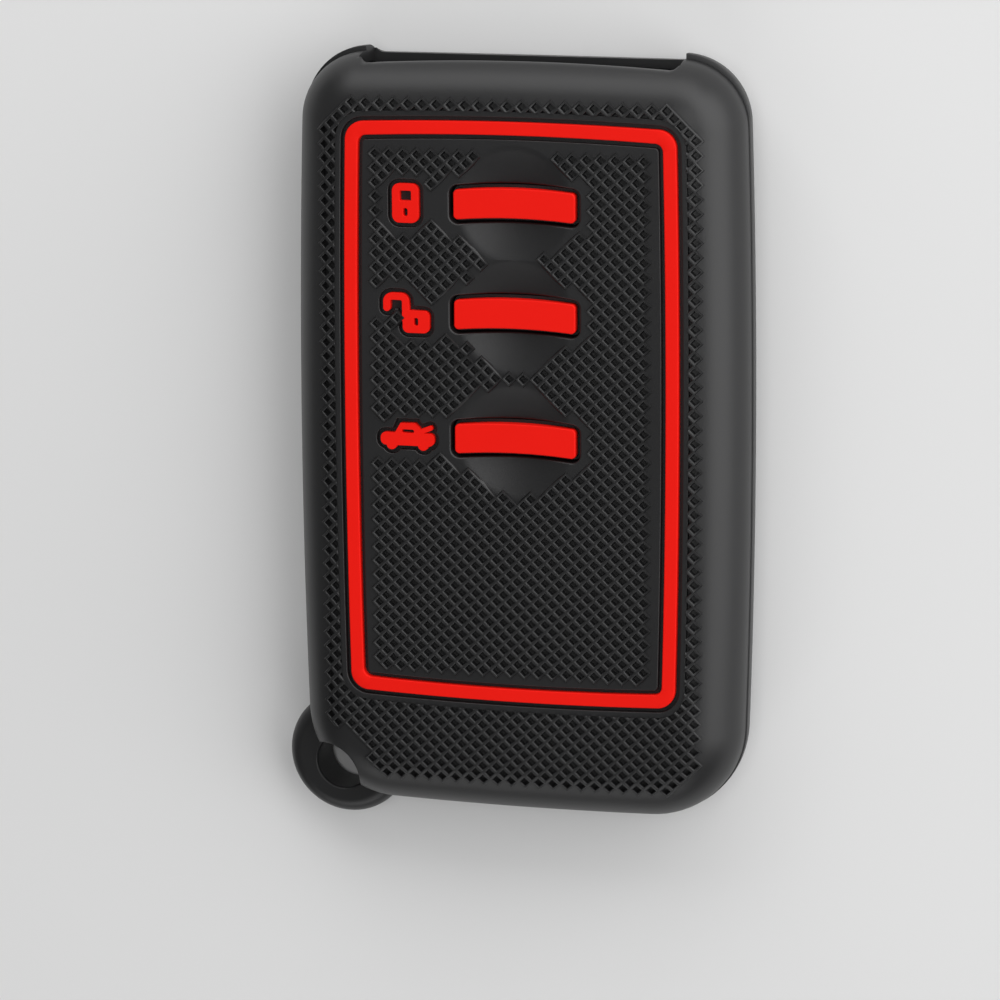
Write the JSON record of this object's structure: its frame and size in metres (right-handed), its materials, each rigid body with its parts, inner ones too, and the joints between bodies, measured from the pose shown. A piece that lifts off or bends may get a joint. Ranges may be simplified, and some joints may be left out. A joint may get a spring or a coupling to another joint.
{
  "type": "key fob cover",
  "caption": "Moulded silicone sleeve for a smart key, with an open mouth at one end, press buttons with red bars, red signs and border, and a key ring lug.",
  "frame": {"origin": "middle of the flat back face, half way along and across the sleeve", "axes": "+Z out of the face with the buttons, +Y along the sleeve towards the open mouth, +X to the right seen from the front"},
  "size_m": [0.0494, 0.0801, 0.0119],
  "materials": {
    "black_silicone": "matte moulded silicone",
    "red_silicone": "satin moulded silicone"
  },
  "bodies": {
    "sleeve": {"sleeve": "black_silicone", "border_inlay": "red_silicone", "lock_icon": "red_silicone", "unlock_icon": "red_silicone", "trunk_icon": "red_silicone", "lock_web": "black_silicone", "unlock_web": "black_silicone", "trunk_web": "black_silicone"},
    "lock_button": {"lock_core": "black_silicone", "lock_bar": "red_silicone"},
    "unlock_button": {"unlock_core": "black_silicone", "unlock_bar": "red_silicone"},
    "trunk_button": {"trunk_core": "black_silicone", "trunk_bar": "red_silicone"}
  },
  "joints": [
    {"name": "lock_press", "type": "slide", "parent": "sleeve", "child": "lock_button", "axis": [0, 0, -1], "range_m": [0, 0.0006], "stiffness_N_per_m": 3000, "deforming": ["lock_web"]},
    {"name": "unlock_press", "type": "slide", "parent": "sleeve", "child": "unlock_button", "axis": [0, 0, -1], "range_m": [0, 0.0006], "stiffness_N_per_m": 3000, "deforming": ["unlock_web"]},
    {"name": "trunk_press", "type": "slide", "parent": "sleeve", "child": "trunk_button", "axis": [0, 0, -1], "range_m": [0, 0.0006], "stiffness_N_per_m": 3000, "deforming": ["trunk_web"]}
  ]
}
